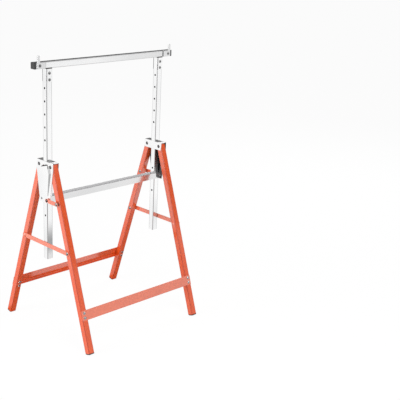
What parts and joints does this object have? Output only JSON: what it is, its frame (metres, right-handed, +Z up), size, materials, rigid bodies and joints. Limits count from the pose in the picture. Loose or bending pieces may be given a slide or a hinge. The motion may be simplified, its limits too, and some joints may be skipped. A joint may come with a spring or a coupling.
{
  "type": "builders trestle",
  "caption": "Folding builders trestle: spread tube legs under sheet-steel heads, telescopic posts with lock levers, a square beam with fold-down end stops, and hooked leg stays.",
  "frame": {"origin": "middle of the trestle on the floor, under the middle of the beam", "axes": "+Z up; X along the beam; -Y is the front, the side that the end stops are on"},
  "size_m": [0.69, 0.5548, 1.125],
  "materials": {
    "orange_paint": "glossy powder coat",
    "zinc_sheet": "bright zinc plated",
    "bright_fastener": "zinc plated",
    "dark_fastener": "blackened steel",
    "spring_steel": "blackened spring steel",
    "black_plastic": "satin moulded plastic"
  },
  "bodies": {
    "head": {"left_head_bracket": "zinc_sheet", "right_head_bracket": "zinc_sheet", "crossbar": "zinc_sheet", "crossbar_rivets": "dark_fastener", "link_studs": "bright_fastener", "leg_pivot_rivets": "dark_fastener"},
    "front_frame": {"front_left_leg": "orange_paint", "front_right_leg": "orange_paint", "front_brace": "orange_paint", "front_brace_bolts": "dark_fastener", "front_brace_nuts": "bright_fastener", "front_left_foot": "black_plastic", "front_right_foot": "black_plastic", "front_leg_plugs": "black_plastic", "left_stay_rivet": "bright_fastener", "left_link_rivet": "bright_fastener", "right_stay_stud": "bright_fastener"},
    "rear_frame": {"rear_left_leg": "orange_paint", "rear_right_leg": "orange_paint", "rear_brace": "orange_paint", "rear_brace_bolts": "dark_fastener", "rear_brace_nuts": "bright_fastener", "rear_left_foot": "black_plastic", "rear_right_foot": "black_plastic", "rear_leg_plugs": "black_plastic", "right_stay_rivet": "bright_fastener", "right_link_rivet": "bright_fastener", "left_stay_stud": "bright_fastener"},
    "mast": {"left_post": "zinc_sheet", "right_post": "zinc_sheet", "top_beam": "zinc_sheet", "left_saddle": "zinc_sheet", "right_saddle": "zinc_sheet", "saddle_bolts": "bright_fastener", "saddle_nuts": "bright_fastener", "left_end_cap": "black_plastic", "right_end_cap": "black_plastic", "stop_bolts": "bright_fastener", "stop_nuts": "bright_fastener"},
    "left_lever": {"left_lock_lever": "spring_steel", "left_lock_pin": "bright_fastener"},
    "right_lever": {"right_lock_lever": "spring_steel", "right_lock_pin": "bright_fastener"},
    "left_stay": {"left_stay": "orange_paint"},
    "right_stay": {"right_stay": "orange_paint"},
    "left_link": {"left_link": "orange_paint"},
    "right_link": {"right_link": "orange_paint"},
    "left_stop": {"left_end_stop": "zinc_sheet"},
    "right_stop": {"right_end_stop": "zinc_sheet"}
  },
  "joints": [
    {"name": "mast_slide", "type": "slide", "parent": "head", "child": "mast", "axis": [0, 0, 1], "range_m": [-0.3, 0.2]},
    {"name": "front_fold", "type": "hinge", "parent": "head", "child": "front_frame", "pos_m": [0, -0.036, 0.702], "axis": [1, 0, 0], "range_deg": [0, 16.4]},
    {"name": "rear_fold", "type": "hinge", "parent": "head", "child": "rear_frame", "pos_m": [0, 0.036, 0.702], "axis": [1, 0, 0], "range_deg": [-16.4, 0]},
    {"name": "left_stay_swing", "type": "hinge", "parent": "front_frame", "child": "left_stay", "pos_m": [-0.2943, -0.14084, 0.382], "axis": [1, 0, 0], "range_deg": [0, 20]},
    {"name": "right_stay_swing", "type": "hinge", "parent": "rear_frame", "child": "right_stay", "pos_m": [0.2943, 0.14084, 0.382], "axis": [-1, 0, 0], "range_deg": [0, 20]},
    {"name": "left_link_swing", "type": "hinge", "parent": "front_frame", "child": "left_link", "pos_m": [-0.3003, -0.08056, 0.566], "axis": [1, 0, 0], "range_deg": [0, 115]},
    {"name": "right_link_swing", "type": "hinge", "parent": "rear_frame", "child": "right_link", "pos_m": [0.3003, 0.08056, 0.566], "axis": [-1, 0, 0], "range_deg": [0, 115]},
    {"name": "left_lever_tilt", "type": "hinge", "parent": "head", "child": "left_lever", "pos_m": [-0.293, 0, 0.5864], "axis": [0, 1, 0], "range_deg": [0, 2.6], "stiffness_Nm_per_rad": 20, "springref_deg": 2.6},
    {"name": "right_lever_tilt", "type": "hinge", "parent": "head", "child": "right_lever", "pos_m": [0.293, 0, 0.5864], "axis": [0, -1, 0], "range_deg": [0, 2.6], "stiffness_Nm_per_rad": 20, "springref_deg": 2.6},
    {"name": "left_stop_fold", "type": "hinge", "parent": "mast", "child": "left_stop", "pos_m": [-0.323, -0.0143, 1.0875], "axis": [0, 1, 0], "range_deg": [0, 90]},
    {"name": "right_stop_fold", "type": "hinge", "parent": "mast", "child": "right_stop", "pos_m": [0.323, -0.0143, 1.0875], "axis": [0, -1, 0], "range_deg": [0, 90]}
  ],
  "couplings": [
    {"joint": "rear_fold", "follows": "front_fold", "ratio": -1},
    {"joint": "left_stay_swing", "follows": "front_fold", "ratio": 1.2},
    {"joint": "right_stay_swing", "follows": "front_fold", "ratio": 1.2},
    {"joint": "left_link_swing", "follows": "front_fold", "ratio": 7},
    {"joint": "right_link_swing", "follows": "front_fold", "ratio": 7}
  ]
}
